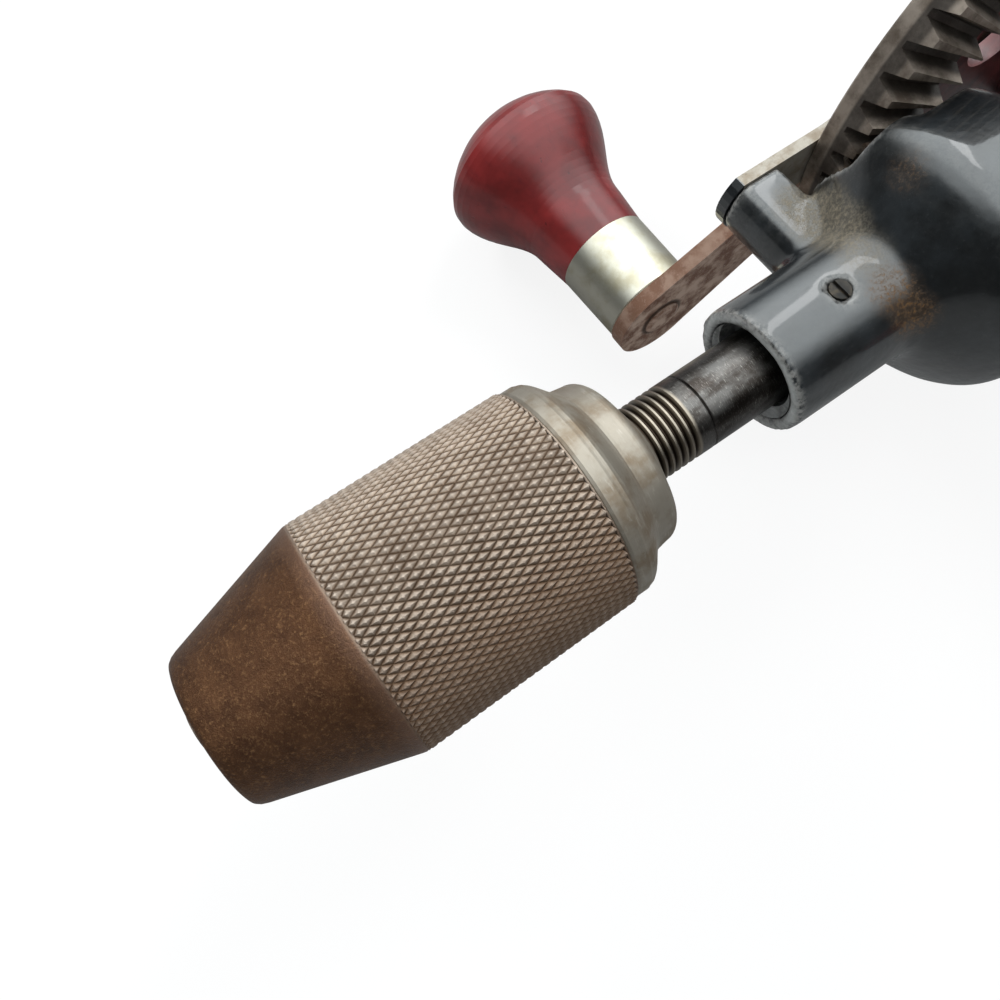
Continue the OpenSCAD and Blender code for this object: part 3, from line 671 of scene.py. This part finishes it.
def lacquer_finish():
    m = Finish("red_lacquer", coat=0.4, coat_roughness=0.15, specular=0.15)
    cloud = m.noise(14.0, 4.0, 0.6)
    grain = m.noise(3.0, 5.0, 0.6, stretch=(1.0, 5.0, 1.0))
    spot = m.noise(1.6, 2.0, 0.5)
    tone = m.mix(cloud.step(0.32, 0.7), (0.07, 0.006, 0.006), (0.14, 0.011, 0.011))
    tone = m.mix(grain.step(0.5, 0.8) * 0.45, tone, (0.055, 0.004, 0.007))
    tone = m.mix(spot.step(0.70, 0.76) * 0.6, tone, (0.03, 0.004, 0.004))
    m.put("Base Color", tone)
    m.put("Roughness", 0.36 + 0.14 * cloud)
    m.bump(m.noise(9.0, 2.0, 0.5) + grain * 0.12 + spot.step(0.72, 0.66) * 0.06, 0.35)
    return m.material


dress(lacquer_finish(), "crank_knob", "side_handle")


# Rear rod and stud
# The rod joins the frame to the breast plate and is held by a cross pin, and the stud
# carries the side handle. Both are plain steel with a dull polish and light rust.

dress(dark_steel, "shank", "side_stud")
dress(bright_steel, "shank_pin")


# Floor and light
# The camera sees a pale floor with a faint shadow, in a white room. Four soft lamps and the
# room light the drill. Its reflections show a dark room with one bright side instead, a
# darker floor, and of the lamps only the strip.

# Places and sizes are in metres here: half the floor's width, and its gap below the drill
FLOOR_HALF = 3.0
FLOOR_GAP = 0.0005
FLOOR_CORNERS = ((-1, -1), (1, -1), (1, 1), (-1, 1))
# Share of plain white in the floor that the camera sees; the rest takes the shadow
FLOOR_WHITE = 0.86
# Direction of the room's bright side. The two bands say where it starts and is full, first
# for plain light and then for reflections
BRIGHT_SIDE = (-0.25, -0.25, 0.935)
SOFT_BAND, SHINE_BAND = (0.0, 0.95), (0.34, 0.82)
WHITE = (1, 1, 1, 1)


def make_floor():
    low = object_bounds()[0][2] - FLOOR_GAP
    corners = [(x * FLOOR_HALF, y * FLOOR_HALF, low) for x, y in FLOOR_CORNERS]
    mesh = bpy.data.meshes.new("floor")
    mesh.from_pydata(corners, [], [(0, 1, 2, 3)])
    floor = bpy.data.objects.new("floor", mesh)
    bpy.context.scene.collection.objects.link(floor)
    material = bpy.data.materials.new("floor_white")
    material.use_nodes = True
    tree = material.node_tree
    tree.nodes.clear()
    plain = add_node(tree, "ShaderNodeBsdfDiffuse", (0.7, 0.7, 0.7, 1))
    dark = add_node(tree, "ShaderNodeBsdfDiffuse", (0.27, 0.27, 0.27, 1))
    glossy = add_node(tree, "ShaderNodeLightPath", out="Is Glossy Ray")
    shade = add_node(tree, "ShaderNodeMixShader", glossy, plain, dark)
    camera = add_node(tree, "ShaderNodeLightPath", out="Is Camera Ray")
    white = add_node(tree, "ShaderNodeEmission", WHITE, 1.0)
    seen = add_node(tree, "ShaderNodeMixShader", camera * FLOOR_WHITE, shade, white)
    add_node(tree, "ShaderNodeOutputMaterial", seen)
    mesh.materials.append(material)


def make_world():
    world = bpy.data.worlds.new("studio")
    bpy.context.scene.world = world
    world.use_nodes = True
    tree = world.node_tree
    tree.nodes.clear()
    place = add_node(tree, "ShaderNodeTexCoord", out="Generated")
    facing = add_node(tree, "ShaderNodeVectorMath", place, BRIGHT_SIDE, out=1,
                      operation="DOT_PRODUCT")
    soft = 0.4 + 0.9 * facing.step(*SOFT_BAND)
    shine = 0.06 + 4.1 * facing.step(*SHINE_BAND)
    glossy = add_node(tree, "ShaderNodeLightPath", out="Is Glossy Ray")
    room = add_node(tree, "ShaderNodeBackground", (0.92, 0.985, 1.0, 1),
                    soft + glossy * (shine - soft))
    camera = add_node(tree, "ShaderNodeLightPath", out="Is Camera Ray")
    white = add_node(tree, "ShaderNodeBackground", WHITE, 1.0)
    seen = add_node(tree, "ShaderNodeMixShader", camera, room, white)
    add_node(tree, "ShaderNodeOutputWorld", seen)


def make_lamp(name, place, target, size, power, mirrored=False):
    data = bpy.data.lights.new(name, "AREA")
    data.shape = "RECTANGLE"
    data.size, data.size_y = size
    data.energy = power
    lamp = bpy.data.objects.new(name, data)
    bpy.context.scene.collection.objects.link(lamp)
    aim = Vector(place) - Vector(target)
    lamp.rotation_euler = aim.to_track_quat("Z", "Y").to_euler()
    lamp.location = place
    lamp.visible_glossy = mirrored


make_floor()
make_world()
make_lamp("lamp_rear", (-0.75, -0.25, 0.75), (-0.12, 0, 0), (0.5, 0.35), 6.0)
make_lamp("lamp_side", (0.1, -0.75, 0.55), (-0.1, 0, 0), (0.45, 0.3), 5.0)
make_lamp("lamp_strip", (-0.5, -0.32, 0.62), (-0.14, 0, 0), (0.14, 0.5), 0.9, mirrored=True)
make_lamp("lamp_front", (0.55, 0.45, 0.7), (-0.1, 0, 0), (0.5, 0.4), 2.0)
